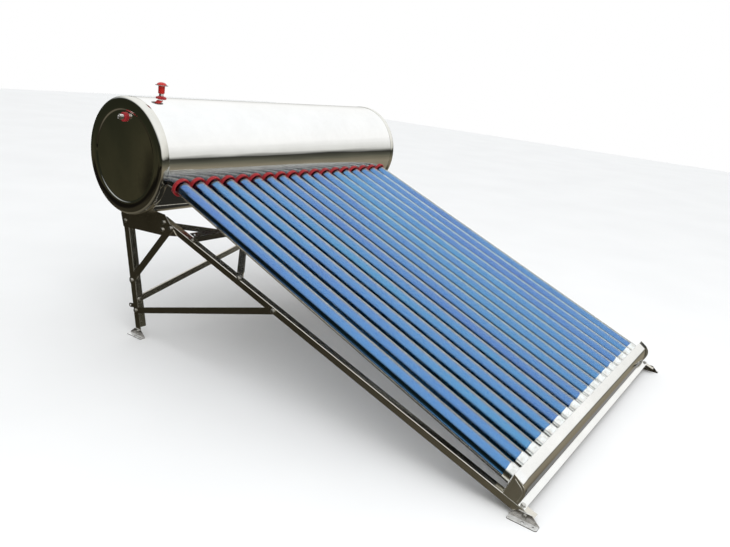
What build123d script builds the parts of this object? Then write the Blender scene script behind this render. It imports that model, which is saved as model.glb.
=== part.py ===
"""Thermosiphon solar water heater with eighteen vacuum tubes on a folded-sheet stand.

Millimetres. X runs along the tank, -Y is the front (lower tube ends), +Z is up.
The origin is on the ground, under the middle of the whole heater.
"""
from build123d import *
import os
from math import cos, sin, tan, radians, hypot

# ---------------------------------------------------------------- driving dimensions
# Tank
TANK_LENGTH = 1580.0
CAP_RADIUS = 228.0             # outside of the end caps
CAP_SKIRT = 36.0               # how far a cap reaches over the shell
CAP_SHEET = 1.2
CAP_CORNER = 14.0
PANEL_RADIUS = 178.0           # round panel set back in the cap face
PANEL_STEP = 10.0              # width of the slope round the panel
PANEL_DEPTH = 3.5
SHELL_SHEET = 1.0
SHELL_INSET = 16.0             # shell end behind the cap face
INNER_TANK_RADIUS = 172.0
INNER_TANK_WALL = 1.5
INNER_TANK_INSET = 55.0
INNER_TANK_CORNER = 40.0
FOAM_GAP = 0.2

# Vacuum tubes
TUBE_COUNT = 18
TUBE_PITCH = 80.0
TUBE_RADIUS = 29.0
TUBE_WALL = 1.6
ABSORBER_RADIUS = 23.5
TUBE_LENGTH = 1800.0
TUBE_TOP = 78.0                # tube mouth, measured down the slope from the tank axis
TIP_RADIUS = 4.0               # sealed-off tip of the outer glass
TUBE_TILT = 21.0               # degrees from the ground
TUBE_DROP = 12.0               # tube plane passes this far below the tank axis
SEAL_WALL = 4.0
RING_RADIUS = 38.0
FIT = 0.05                     # radial clearance where a round part sits in its seal

# Frame sheet sections
SHEET = 2.0
RAIL_HEIGHT = 26.0
RAIL_FLANGE = 26.0
LEG_WIDTH = 32.0
LEG_FLANGE = 30.0
LEG_SHOE = 20.0                # flat end of a leg above its pivot
SIDE_INSET = 55.0              # side frame plane, in from the tank end
BEND_RADIUS = 3.0              # outside radius of folded sheet
FLANGE_BOLT = 13.0             # bolt line on a rail's flange, in from its outer face
LEG_BOLT = 15.0                # the same on a leg's flange

# Frame layout, measured from the tank axis (y to the rear, z up)
GROUND = -757.0
RAIL_TILT = 17.65
LEG_LEAN = 11.0
FRONT_PIVOT = (-1777.0, -740.0)
REAR_PIVOT = (-25.0, -740.0)
RAIL_TOP_Y = -160.0
LEG_TOP_Z = -242.0
TIE_AT_LEG_Z = -649.0
TIE_AT_RAIL_Y = -775.0
BRACE_AT_LEG_Z = -521.0
BRACE_AT_RAIL_Y = -222.0
SADDLE_BOLT_Y = -178.0
SADDLE_BOLT_Z = -276.0
SADDLE_SPARE = (-171.0, -262.0)
STRAP_LOW_Z = -602.0
STRAP_HIGH_Z = -276.0

# Cross members, measured up the rail from the front pivot
CROSS_RAIL_FRONT = 1500.0
CROSS_RAIL_HEIGHT = 24.0
CROSS_RAIL_DEPTH = 30.0
CORNER_BRACE_FOOT = 1247.0
STRAP_WIDTH = 24.0
LOWER_RAIL_FRONT = 9.5
LOWER_RAIL_BACK = 31.0
LOWER_RAIL_BOLT = 20.0
RAIL_TOE = 24.0                # rail end beyond the front pivot

# Tail tray, in the same rail coordinates
TRAY_BACK = 83.0
TRAY_FRONT = 32.0
TRAY_HEIGHT = 76.7             # at the back
TRAY_CREASE = 50.0             # where the crown turns down into the front
TRAY_CREASE_HEIGHT = 66.8
TRAY_CREASE_RADIUS = 4.0
TRAY_BOW = (3.0, 31.4)         # a point of the bowed front, from its toe
TRAY_PANEL_INSET = 8.0
TRAY_SHEET = 1.0
TRAY_PLATE = 1.5
TRAY_BOLT = 60.0

# Feet
FOOT_LENGTH = 92.0
FOOT_FLANGE = 22.0
FOOT_SHEET = 2.5
FOOT_GAP = 0.4
ANCHOR_RADIUS = 5.0

# Fasteners (M8)
BOLT_RADIUS = 4.0
BOLT_HOLE = 4.4
PIVOT_HOLE = 4.06
HEAD_FLATS = 13.0
HEAD_HEIGHT = 5.3
NUT_HEIGHT = 6.5
HEX_CHAMFER = 0.9
BOLT_COLLAR = 8.5              # radius of the flange under a head or nut
COLLAR_HEIGHT = 1.3
THREAD_END = 2.5

# Vent and side ports
VENT_X = 161.0                 # from the left end of the tank
VENT_LEAN = 3.0                # the vent leans a little to the front
VENT_PIPE_RADIUS = 8.5
VENT_PIPE_TOP = 258.0          # from the tank axis
VENT_BRIM_RADIUS = 25.0
VENT_SEAL_RADIUS = 20.5
PORT_RADIUS = 10.0
PORT_THREAD_RADIUS = 10.48     # half-inch pipe thread, outside
PORT_THREAD_START = 6.0
PORT_HEIGHT = 150.0            # above the tank axis
PORT_REACH = 22.0              # beyond the cap face

# ---------------------------------------------------------------- derived places
HALF = TANK_LENGTH / 2
SHELL_RADIUS = CAP_RADIUS - CAP_SHEET
SIDE = -(HALF - SIDE_INSET)    # outer face of the left rail and leg
REAR_EDGE = CAP_RADIUS
FRONT_EDGE = FRONT_PIVOT[0] - FOOT_LENGTH / 2
TANK_Y = -(REAR_EDGE + FRONT_EDGE) / 2
TANK_Z = -GROUND

SLOPE = radians(RAIL_TILT)
LEAN = radians(LEG_LEAN)
TILT = radians(TUBE_TILT)


def place(y, z, x=0.0):
    """A point given from the tank axis, in the heater's own frame."""
    return Vector(x, y + TANK_Y, z + TANK_Z)


# Plane looking along +X, with y to the rear and z up, from the tank axis
SECTION = Plane(origin=place(0, 0), x_dir=(0, 1, 0), z_dir=(1, 0, 0))
# Tube plane: local x along the tank, local y up the slope, local z out of the collector
COLLECTOR = Plane(origin=place(0, 0), x_dir=(1, 0, 0), z_dir=(0, -sin(TILT), cos(TILT)))
# Rail section: local x up the rail, local y off the rail, local z along +X
RAIL = Plane(origin=place(*FRONT_PIVOT), x_dir=(0, cos(SLOPE), sin(SLOPE)), z_dir=(1, 0, 0))
# Leg section: local x up the leg, local y to the front, local z along +X
LEG = Plane(origin=place(*REAR_PIVOT), x_dir=(0, sin(LEAN), cos(LEAN)), z_dir=(1, 0, 0))

TUBE_FIRST = -(TUBE_COUNT - 1) * TUBE_PITCH / 2
TUBE_PLACES = [TUBE_FIRST + n * TUBE_PITCH for n in range(TUBE_COUNT)]
TUBE_END = TUBE_TOP + TUBE_LENGTH


def rail_y(y):
    """Distance up the rail of a point at this y."""
    return (y - FRONT_PIVOT[0]) / cos(SLOPE)


def leg_z(z):
    """Distance up the leg of a point at this z."""
    return (z - REAR_PIVOT[1]) / cos(LEAN)


def leg_point(z):
    """The leg's centre line at this z, from the tank axis."""
    return (REAR_PIVOT[0] + (z - REAR_PIVOT[1]) * tan(LEAN), z)


def rail_point(y):
    """The rail's centre line at this y, from the tank axis."""
    return (y, FRONT_PIVOT[1] + (y - FRONT_PIVOT[0]) * tan(SLOPE))


# ---------------------------------------------------------------- small builders
def block(plane, x, y, z):
    """A box between two limits on each local axis of a plane."""
    centre = ((x[0] + x[1]) / 2, (y[0] + y[1]) / 2, (z[0] + z[1]) / 2)
    return plane * Pos(*centre) * Box(x[1] - x[0], y[1] - y[0], z[1] - z[0])


def sheet(plane, points, low, high):
    """A plate with a straight-sided outline, between two heights on a plane's normal."""
    face = make_face(Polyline(*points, close=True))
    return plane * Pos(0, 0, low) * extrude(face, high - low, dir=(0, 0, 1))


def drum(radius, start, end, plane=None):
    """A cylinder along X (or along a plane's normal) between two stations."""
    base = plane or Plane(origin=place(0, 0), x_dir=(0, 1, 0), z_dir=(1, 0, 0))
    return base * Pos(0, 0, (start + end) / 2) * Cylinder(radius, end - start)


def rod(plane, x, y, radius, start, end):
    """A cylinder along a plane's normal, at a local place."""
    return plane * Pos(x, y, (start + end) / 2) * Cylinder(radius, end - start)


def channel(plane, start, end, width, flange):
    """Folded channel along a plane's local x, its web on the outer side face."""
    across = Plane(origin=plane.from_local_coords(Vector(start, 0, SIDE)), x_dir=plane.y_dir, z_dir=plane.x_dir)
    half = width / 2
    outside = make_face(Polyline((-half, 0), (half, 0), (half, flange), (-half, flange), close=True))
    outside = fillet(outside.vertices().group_by(Axis.Y)[0], BEND_RADIUS)
    room = half - SHEET
    inside = make_face(Polyline((-room, SHEET), (room, SHEET), (room, flange + 1), (-room, flange + 1), close=True))
    inside = fillet(inside.vertices().group_by(Axis.Y)[0], BEND_RADIUS - SHEET)
    return across * extrude(outside - inside, end - start, dir=(0, 0, 1))


def turned(points, plane):
    """A solid of revolution about a plane's normal, from (radius, height) points."""
    profile = make_face(Polyline(*[(r, 0, h) for r, h in points], close=True))
    return plane * revolve(profile, Axis.Z)


def round_ended(frame, radius, start, end, tip=0.0):
    """A solid rod with a domed far end, and a drawn-out tip if one is given."""
    centre = end - radius
    rise = (radius ** 2 - tip ** 2) ** 0.5
    corner = radius * sin(radians(45))
    edges = [Line((0, 0, start), (radius, 0, start)), Line((radius, 0, start), (radius, 0, centre)),
             ThreePointArc((radius, 0, centre), (corner, 0, centre + corner), (tip, 0, centre + rise))]
    top = centre + rise
    if tip:
        edges += [Line((tip, 0, top), (tip / 3, 0, end + 2 * tip)),
                  Line((tip / 3, 0, end + 2 * tip), (0, 0, end + 2 * tip))]
        top = end + 2 * tip
    edges.append(Line((0, 0, top), (0, 0, start)))
    return frame * revolve(make_face(Wire(edges)), Axis.Z)


def hex_drive(height):
    """Six-sided head or nut on a round collar, standing on the plane z = 0."""
    across_corners = HEAD_FLATS / 2 / cos(radians(30))
    hexagon = extrude(RegularPolygon(across_corners, 6), height)
    crown = Pos(0, 0, height / 2) * Cylinder(across_corners, height)
    crown = chamfer(crown.edges().sort_by(Axis.Z)[-1], HEX_CHAMFER)
    collar = Pos(0, 0, COLLAR_HEIGHT / 2) * Cylinder(BOLT_COLLAR, COLLAR_HEIGHT)
    collar = chamfer(collar.edges().sort_by(Axis.Z)[-1], COLLAR_HEIGHT / 3)
    return (hexagon & crown) + collar


def bolt(plane, x, y, outer, inner):
    """M8 flange bolt and nut gripping sheets between two heights on a plane's normal."""
    grip = abs(inner - outer)
    shank = grip + NUT_HEIGHT + THREAD_END
    made = Rot(180, 0, 0) * hex_drive(HEAD_HEIGHT)
    made += Pos(0, 0, grip) * hex_drive(NUT_HEIGHT)
    made += Pos(0, 0, shank / 2) * Cylinder(BOLT_RADIUS, shank)
    turn = 0 if inner > outer else 180
    return plane * Pos(x, y, outer) * Rot(turn, 0, 0) * made


def group(shapes):
    """Several separate solids in one node."""
    return Compound(children=[s for shape in shapes for s in shape.solids()])


def mirrored(shape):
    """The same part for the right-hand side."""
    return mirror(shape, Plane.YZ)


def both_sides(shapes):
    """A part list for the left side, with its mirror image for the right."""
    return list(shapes) + [mirrored(s) for s in shapes]


def tube_frames():
    """A plane for each tube, with its normal pointing down the tube from the tank axis."""
    for x in TUBE_PLACES:
        at = COLLECTOR.from_local_coords(Vector(x, 0, -TUBE_DROP))
        yield Plane(origin=at, x_dir=(1, 0, 0), z_dir=(0, -cos(TILT), -sin(TILT)))


def tube_holes(radius, start, end):
    """Cylinders on every tube axis, for cutting the holes that the tubes pass through."""
    return [rod(frame, 0, 0, radius, start, end) for frame in tube_frames()]


def vent_frame():
    """Plane on the tank axis whose normal points up the vent pipe."""
    lean = radians(VENT_LEAN)
    return Plane(origin=place(0, 0, VENT_X - HALF), x_dir=(1, 0, 0), z_dir=(0, -sin(lean), cos(lean)))


def port_frame():
    """Plane at the left cap face, on the side port's axis, pointing outwards."""
    return Plane(origin=place(0, PORT_HEIGHT, -HALF), x_dir=(0, 1, 0), z_dir=(-1, 0, 0))


# ---------------------------------------------------------------- tank
def end_cap_left():
    """Pressed cap: rounded corner, skirt, and a round panel set back from the rim."""
    thick = CAP_SHEET
    turn = CAP_CORNER * sin(radians(45))
    inner_corner = CAP_CORNER - thick
    inner_turn = inner_corner * sin(radians(45))
    bend = CAP_RADIUS - CAP_CORNER
    step_in, step_out = PANEL_RADIUS - PANEL_STEP / 2, PANEL_RADIUS + PANEL_STEP / 2
    outer = [Line((0, 0, -PANEL_DEPTH), (step_in, 0, -PANEL_DEPTH)),
             Spline((step_in, 0, -PANEL_DEPTH), (step_out, 0, 0), tangents=[(1, 0, 0), (1, 0, 0)]),
             Line((step_out, 0, 0), (bend, 0, 0)),
             ThreePointArc((bend, 0, 0), (bend + turn, 0, turn - CAP_CORNER), (CAP_RADIUS, 0, -CAP_CORNER)),
             Line((CAP_RADIUS, 0, -CAP_CORNER), (CAP_RADIUS, 0, -CAP_SKIRT)),
             Line((CAP_RADIUS, 0, -CAP_SKIRT), (SHELL_RADIUS, 0, -CAP_SKIRT))]
    inner = [Line((SHELL_RADIUS, 0, -CAP_SKIRT), (SHELL_RADIUS, 0, -CAP_CORNER)),
             ThreePointArc((SHELL_RADIUS, 0, -CAP_CORNER),
                           (bend + inner_turn, 0, inner_turn - CAP_CORNER), (bend, 0, -thick)),
             Line((bend, 0, -thick), (step_out, 0, -thick)),
             Spline((step_out, 0, -thick), (step_in, 0, -PANEL_DEPTH - thick), tangents=[(-1, 0, 0), (-1, 0, 0)]),
             Line((step_in, 0, -PANEL_DEPTH - thick), (0, 0, -PANEL_DEPTH - thick)),
             Line((0, 0, -PANEL_DEPTH - thick), (0, 0, -PANEL_DEPTH))]
    face_plane = Plane(origin=place(0, 0, -HALF), x_dir=(0, 1, 0), z_dir=(-1, 0, 0))
    cap = face_plane * revolve(make_face(Wire(outer + inner)), Axis.Z)
    return cap - rod(port_frame(), 0, 0, PORT_RADIUS + SEAL_WALL, -20, 20)


def tank_shell():
    """Polished outer jacket with tube holes and the vent hole."""
    end = HALF - SHELL_INSET
    shell = drum(SHELL_RADIUS - FIT, -end, end) - drum(SHELL_RADIUS - SHELL_SHEET, -end, end)
    shell -= tube_holes(TUBE_RADIUS + 2, 150, 260)
    return shell - rod(vent_frame(), 0, 0, VENT_PIPE_RADIUS + SEAL_WALL, 180, 260)


def inner_tank_body(radius, inset, corner):
    """Water tank outline with rounded ends."""
    end = HALF - inset
    body = drum(radius, -end, end)
    return fillet(body.edges().filter_by(GeomType.CIRCLE), corner)


def inner_tank():
    """Water tank: thin wall, a seal hole for each tube, holes for the pipes."""
    tank = inner_tank_body(INNER_TANK_RADIUS, INNER_TANK_INSET, INNER_TANK_CORNER)
    tank -= inner_tank_body(INNER_TANK_RADIUS - INNER_TANK_WALL, INNER_TANK_INSET + INNER_TANK_WALL,
                            INNER_TANK_CORNER - INNER_TANK_WALL)
    tank -= tube_holes(TUBE_RADIUS + SEAL_WALL + FIT, 120, 200)
    tank -= rod(vent_frame(), 0, 0, VENT_PIPE_RADIUS + FIT, 100, 200)
    for side in (port_frame(), mirrored_port_frame()):
        tank -= rod(side, 0, 0, PORT_RADIUS + FIT, -120, 0)
    return tank


def mirrored_port_frame():
    """The right-hand port's plane, pointing outwards."""
    return Plane(origin=place(0, PORT_HEIGHT, HALF), x_dir=(0, 1, 0), z_dir=(1, 0, 0))


def foam_insulation():
    """Foam between the water tank and the jacket."""
    end = HALF - SHELL_INSET - 1
    foam = drum(SHELL_RADIUS - SHELL_SHEET - FOAM_GAP, -end, end)
    foam -= inner_tank_body(INNER_TANK_RADIUS + FOAM_GAP, INNER_TANK_INSET - FOAM_GAP, INNER_TANK_CORNER)
    foam -= tube_holes(TUBE_RADIUS + SEAL_WALL + 1, 120, 260)
    foam -= rod(vent_frame(), 0, 0, VENT_PIPE_RADIUS + SEAL_WALL + 1, 100, 260)
    for side in (port_frame(), mirrored_port_frame()):
        foam -= rod(side, 0, 0, PORT_RADIUS + SEAL_WALL + 1, -120, 0)
    return foam


def magnesium_anode():
    """Sacrificial rod that lies inside the water tank, off the right-hand head."""
    seat = Plane(origin=place(60, 60, HALF - INNER_TANK_INSET - INNER_TANK_WALL),
                 x_dir=(0, 1, 0), z_dir=(-1, 0, 0))
    return turned([(0, 0), (13, 0), (13, 8), (9, 12), (9, 300), (0, 305)], seat)


def vent_pipe():
    """Open vent stub from the water tank through the jacket."""
    start = INNER_TANK_RADIUS - 8
    pipe = rod(vent_frame(), 0, 0, VENT_PIPE_RADIUS, start, VENT_PIPE_TOP)
    return pipe - rod(vent_frame(), 0, 0, VENT_PIPE_RADIUS - 1.5, start, VENT_PIPE_TOP)


def vent_cap():
    """Loose vent cap: a low dome and a thin brim over a sleeve that slips over the pipe."""
    seat = CAP_RADIUS
    bore = VENT_PIPE_RADIUS + 0.4
    outline = [(bore, seat + 16), (10.5, seat + 16), (12.3, seat + 20), (12.8, seat + 46.8),
               (VENT_BRIM_RADIUS, seat + 46.8), (VENT_BRIM_RADIUS, seat + 49.3), (20, seat + 50.3),
               (15, seat + 55.5), (8, seat + 59), (0, seat + 60), (0, VENT_PIPE_TOP + 0.3),
               (bore, VENT_PIPE_TOP + 0.3)]
    return turned(outline, vent_frame())


def vent_seal():
    """Conical rubber seal where the vent pipe leaves the jacket."""
    base = SHELL_RADIUS - 4
    bore = VENT_PIPE_RADIUS + FIT
    outline = [(bore, base), (VENT_SEAL_RADIUS, base), (VENT_SEAL_RADIUS, CAP_RADIUS + 2),
               (VENT_SEAL_RADIUS - 2, CAP_RADIUS + 3.2), (11, CAP_RADIUS + 6.5), (bore, CAP_RADIUS + 7)]
    seal = turned(outline, vent_frame())
    return seal - drum(SHELL_RADIUS + FIT, -HALF, HALF)


def port_pipe_left():
    """Threaded water connection that leaves through the end cap."""
    start = -INNER_TANK_INSET - 12
    bore = PORT_RADIUS - 2.5
    lip = PORT_THREAD_RADIUS - 1.2
    outline = [(bore, start), (PORT_RADIUS, start), (PORT_RADIUS, PORT_THREAD_START),
               (PORT_THREAD_RADIUS, PORT_THREAD_START), (PORT_THREAD_RADIUS, PORT_REACH - 1.2),
               (lip, PORT_REACH), (bore, PORT_REACH)]
    return turned(outline, port_frame())


def port_seal_left():
    """Rubber ring between the water connection and the end cap."""
    bore = PORT_RADIUS + FIT
    neck = PORT_RADIUS + SEAL_WALL - FIT
    seat = -PANEL_DEPTH
    outline = [(bore, seat - 4), (neck, seat - 4), (neck, seat), (18, seat), (18, 3), (16, 5.5), (bore, 5.5)]
    return turned(outline, port_frame())


# ---------------------------------------------------------------- vacuum tubes
def vacuum_tube(frame):
    """Outer glass of one tube, with its sealed-off tip."""
    dome = TUBE_END - 2 * TIP_RADIUS
    glass = round_ended(frame, TUBE_RADIUS, TUBE_TOP, dome, TIP_RADIUS)
    return glass - round_ended(frame, TUBE_RADIUS - TUBE_WALL, TUBE_TOP - 1, dome - TUBE_WALL)


def absorber_tube(frame):
    """Coated inner glass, open at the mouth, with a collar that closes the vacuum."""
    end = TUBE_END - 48
    glass = round_ended(frame, ABSORBER_RADIUS, TUBE_TOP, end)
    glass += rod(frame, 0, 0, TUBE_RADIUS - TUBE_WALL - FIT, TUBE_TOP, TUBE_TOP + 4)
    return glass - round_ended(frame, ABSORBER_RADIUS - TUBE_WALL, TUBE_TOP - 1, end - TUBE_WALL)


def getter_clip(frame):
    """Spring dish that centres the inner glass near the closed end."""
    start = TUBE_END - 47.6
    gap = TUBE_RADIUS - TUBE_WALL - FIT
    return turned([(4, start), (10, start), (gap, start + 6), (gap, start + 9), (10, start + 3), (4, start + 3)],
                  frame)


def tube_seal(frame):
    """Silicone ring that seals a tube into the water tank."""
    bore = TUBE_RADIUS + FIT
    neck = TUBE_RADIUS + SEAL_WALL
    low = INNER_TANK_RADIUS - 12
    high = INNER_TANK_RADIUS + 8
    return turned([(bore, low), (neck, low), (neck, high), (bore, high)], frame)


def dust_ring(frame):
    """Rubber collar over a tube where it enters the jacket."""
    bore = TUBE_RADIUS + FIT
    base = SHELL_RADIUS - 16
    crown = SHELL_RADIUS + 9
    outline = [(bore, base), (RING_RADIUS, base), (RING_RADIUS, crown - 5), (RING_RADIUS - 2, crown - 1.5),
               (RING_RADIUS - 5, crown), (RING_RADIUS - 7.5, crown - 2), (bore, crown - 5)]
    return turned(outline, frame) - drum(SHELL_RADIUS + FIT, -HALF, HALF)


def rail_top(x, along, off=0.0):
    """Plane facing off the rail, at a place across X and up the slope."""
    at = RAIL.from_local_coords(Vector(along, off, x))
    return Plane(origin=at, x_dir=(1, 0, 0), z_dir=(0, -sin(SLOPE), cos(SLOPE)))


def up_slope(x, along, off):
    """Plane facing up the rail, at a place across X."""
    at = RAIL.from_local_coords(Vector(along, off, x))
    return Plane(origin=at, x_dir=(1, 0, 0), z_dir=(0, cos(SLOPE), sin(SLOPE)))


def tail_cup(frame):
    """Plastic cup that holds a tube's closed end in the tray."""
    bore = TUBE_RADIUS + 0.4
    wall = 1.3
    rim = TUBE_END - 46
    inside = [(bore, rim), (bore, rim + 12), (bore - 2.4, rim + 24), (20, rim + 37), (9, rim + 43)]
    outside = [(r + wall, h + wall * (h > rim)) for r, h in reversed(inside)]
    return turned(inside + outside, frame)


# ---------------------------------------------------------------- tail tray
def inward(point, facing, inset):
    """A tray point moved into the tray, square to a wall facing this many degrees above the front."""
    return (point[0] + inset * cos(radians(facing)), point[1] - inset * sin(radians(facing)))


def tray_face(inset=0.0):
    """Tray section: flat foot and back, low crown, a crease, then a gently bowed front."""
    low = RAIL_HEIGHT / 2 + 0.2
    mitre = 1.06
    crease = inward((TRAY_CREASE, low + TRAY_CREASE_HEIGHT), 48, mitre * inset)
    back_top = (TRAY_BACK - inset, low + TRAY_HEIGHT - mitre * inset)
    crown = inward((TRAY_BACK - 17, low + 71.7), 72, inset)
    bow = inward((TRAY_FRONT + TRAY_BOW[0], low + TRAY_BOW[1]), 15, inset)
    toe = (TRAY_FRONT + inset, low + inset)
    edges = [Line(toe, (TRAY_BACK - inset, low + inset)), Line((TRAY_BACK - inset, low + inset), back_top),
             ThreePointArc(back_top, crown, crease), ThreePointArc(crease, bow, toe)]
    face = make_face(Wire(edges))
    return fillet(face.vertices().sort_by_distance((*crease, 0))[0], TRAY_CREASE_RADIUS - inset)


def tail_tray():
    """Folded tray with one hole for each tube."""
    end = abs(SIDE) - TRAY_PLATE
    tray = extrude(tray_face(), 2 * end, dir=(0, 0, 1))
    tray -= Pos(0, 0, -1) * extrude(tray_face(TRAY_SHEET), 2 * end + 2, dir=(0, 0, 1))
    tray = RAIL * Pos(0, 0, -end) * tray
    tray -= tube_holes(TUBE_RADIUS + 2.2, TUBE_END - 80, TUBE_END - 25)
    for x in (SIDE + FLANGE_BOLT, -SIDE - FLANGE_BOLT):
        tray -= flange_hole(x, TRAY_BOLT)
    return tray


def end_plate_face(inset=0.0):
    """End plate outline, rounder in front than the tray itself."""
    low = RAIL_HEIGHT / 2 + 0.2
    back_top = (TRAY_BACK - inset, low + TRAY_HEIGHT - 1.2 * inset)
    top = inward((TRAY_BACK - 17, low + 71.4), 70, inset)
    brow = inward((TRAY_CREASE, low + 64.5), 58, inset)
    bulge = inward((TRAY_FRONT + 3.6, low + 52.5), 37, inset)
    nose = inward((TRAY_FRONT - 3, low + 33), 12, inset)
    chin = inward((TRAY_FRONT - 2.8, low + 16), -5, inset)
    toe = (TRAY_FRONT + 0.8 * inset, low + inset)
    edges = [Line(toe, (TRAY_BACK - inset, low + inset)), Line((TRAY_BACK - inset, low + inset), back_top),
             ThreePointArc(back_top, top, brow), ThreePointArc(brow, bulge, nose),
             ThreePointArc(nose, chin, toe)]
    return make_face(Wire(edges))


def tray_end_left():
    """End plate with a raised panel."""
    made = extrude(end_plate_face(), TRAY_PLATE, dir=(0, 0, 1))
    made += extrude(end_plate_face(TRAY_PANEL_INSET), TRAY_PLATE, dir=(0, 0, -1))
    return RAIL * Pos(0, 0, SIDE) * made


# ---------------------------------------------------------------- frame members
def flange_hole(x, along):
    """Bolt hole through a rail's top flange and what sits on it."""
    return rod(rail_top(x, along), 0, 0, BOLT_HOLE, 0, 40)


def side_hole(y, z, radius=BOLT_HOLE):
    """Hole along X through the left side frame."""
    return rod(SECTION, y, z, radius, SIDE - 12, SIDE + 12)


def strap_hole(x, z):
    """Hole through the leg's front flange and the strap on it."""
    along = leg_z(z)
    across = Plane(origin=LEG.from_local_coords(Vector(along, 0, x)), x_dir=(1, 0, 0),
                   z_dir=(0, -cos(LEAN), sin(LEAN)))
    return rod(across, 0, 0, BOLT_HOLE, 5, 30)


def rail_left():
    """Sloping channel from the front foot to the saddle."""
    half = RAIL_HEIGHT / 2
    rail = channel(RAIL, -RAIL_TOE, rail_y(RAIL_TOP_Y), RAIL_HEIGHT, RAIL_FLANGE)
    toe = [(-RAIL_TOE - 1, -1), (-RAIL_TOE, -1), (-6, -half), (-6, -half - 1), (-RAIL_TOE - 1, -half - 1)]
    rail -= sheet(RAIL, toe, SIDE - 1, SIDE + RAIL_FLANGE + 1)
    rail -= block(RAIL, (-RAIL_TOE, 8), (-half - 1, half - SHEET), (SIDE + BEND_RADIUS, SIDE + RAIL_FLANGE + 1))
    rail -= rod(RAIL, 0, 0, BOLT_HOLE, SIDE - 1, SIDE + 9)
    for y in (SADDLE_BOLT_Y, BRACE_AT_RAIL_Y, TIE_AT_RAIL_Y):
        rail -= side_hole(*rail_point(y))
    for along in (TRAY_BOLT, LOWER_RAIL_BOLT, CORNER_BRACE_FOOT, CROSS_RAIL_FRONT + 16):
        rail -= flange_hole(SIDE + FLANGE_BOLT, along)
    return rail


def rear_leg_left():
    """Leaning channel from the rear foot to the saddle, with a stay lug on its back."""
    top = leg_z(LEG_TOP_Z)
    half = LEG_WIDTH / 2
    leg = channel(LEG, 0, top, LEG_WIDTH, LEG_FLANGE)
    leg -= block(LEG, (-1, LEG_SHOE), (-half - 1, half + 1), (SIDE + BEND_RADIUS, SIDE + LEG_FLANGE + 1))
    leg += rod(LEG, 0, 0, half, SIDE, SIDE + SHEET)
    lug = block(LEG, (104, 122), (-half - 18, BEND_RADIUS - half), (SIDE, SIDE + SHEET))
    lug += rod(LEG, 113, -half - 18, 9, SIDE, SIDE + SHEET)
    leg += lug
    leg -= rod(LEG, 113, -half - 18, BOLT_HOLE, SIDE - 1, SIDE + 9)
    leg -= rod(LEG, 0, 0, BOLT_HOLE, SIDE - 1, SIDE + 9)
    for z in (SADDLE_BOLT_Z, BRACE_AT_LEG_Z, TIE_AT_LEG_Z):
        leg -= side_hole(*leg_point(z))
    for z in (STRAP_LOW_Z, STRAP_HIGH_Z):
        leg -= strap_hole(SIDE + LEG_BOLT, z)
    return leg


def saddle_left():
    """Side plate joining leg and rail, with a curved ledge under the tank."""
    ledge_in = SHELL_RADIUS + 0.3
    outline = [(88, -205), (92, -252), (76, -302), (-174, -285), (-257, -270), (-184, -199), (-112, -196)]
    plate = sheet(SECTION, outline, SIDE - SHEET, SIDE)
    plate -= drum(ledge_in, SIDE - 10, SIDE + 10)
    ledge = drum(ledge_in + SHEET, SIDE - SHEET, SIDE + 28) - drum(ledge_in, SIDE - 10, SIDE + 40)
    ledge &= sheet(SECTION, [(0, 0), (120, -280), (-150, -280)], SIDE - 20, SIDE + 60)
    saddle = plate + ledge
    saddle -= side_hole(*rail_point(SADDLE_BOLT_Y))
    saddle -= side_hole(*rail_point(BRACE_AT_RAIL_Y))
    saddle -= side_hole(*leg_point(SADDLE_BOLT_Z))
    return saddle - side_hole(*SADDLE_SPARE)


def link(start, end, width, outer, lip, lip_span, lip_above):
    """Flat bar between two bolt places, with a lip folded inwards along one edge."""
    run = Vector(end[0] - start[0], end[1] - start[1])
    along = Plane(origin=place(*start), x_dir=(0, run.X, run.Y), z_dir=(1, 0, 0))
    reach = run.length
    grip = width / 2
    bar = block(along, (0, reach), (-grip, grip), (outer, outer + SHEET))
    bar += rod(along, 0, 0, grip, outer, outer + SHEET)
    bar += rod(along, reach, 0, grip, outer, outer + SHEET)
    edge = (grip - SHEET, grip) if lip_above else (-grip, SHEET - grip)
    bar += block(along, (lip_span[0], reach - lip_span[1]), edge, (outer, outer + lip))
    for at in (0, reach):
        bar -= rod(along, at, 0, BOLT_HOLE, outer - 1, outer + SHEET + 1)
    return bar


def tie_left():
    """Side tie from the leg to the middle of the rail."""
    return link(leg_point(TIE_AT_LEG_Z), rail_point(TIE_AT_RAIL_Y), 25, SIDE - SHEET, 18, (32, 70), True)


def brace_left():
    """Short side brace from the leg up to the saddle joint."""
    return link(leg_point(BRACE_AT_LEG_Z), rail_point(BRACE_AT_RAIL_Y), 30, SIDE - 2 * SHEET, 10,
                (52, 120), False)


def rear_strap(low_x, high_x, near):
    """Angle strap across the back, from the foot of one leg to the top of the other."""
    low = Vector(low_x, leg_z(STRAP_LOW_Z))
    high = Vector(high_x, leg_z(STRAP_HIGH_Z))
    face = Plane(origin=place(*REAR_PIVOT), x_dir=(1, 0, 0), z_dir=(0, -cos(LEAN), sin(LEAN)))
    run = high - low
    turn = face * Pos(low.X, low.Y, 0) * Rot(0, 0, Vector(1, 0).get_signed_angle(run, Vector(0, 0, 1)))
    reach = run.length
    grip = STRAP_WIDTH / 2
    lip = (near[0] - 12, near[1]) if near[0] < LEG_WIDTH / 2 - SHEET else (near[0], near[1] + 12)
    strap = Pos(reach / 2, 0, sum(near) / 2) * Box(reach + 14, STRAP_WIDTH, SHEET)
    flip = 1 if high_x > low_x else -1
    edge = flip * (grip - SHEET / 2)
    strap += Pos(reach / 2, edge, sum(lip) / 2) * Box(reach - 60, SHEET, lip[1] - lip[0])
    for at in (0, reach):
        strap -= Pos(at, 0, sum(near) / 2) * Cylinder(BOLT_HOLE, 3 * SHEET)
    return turn * strap


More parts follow.
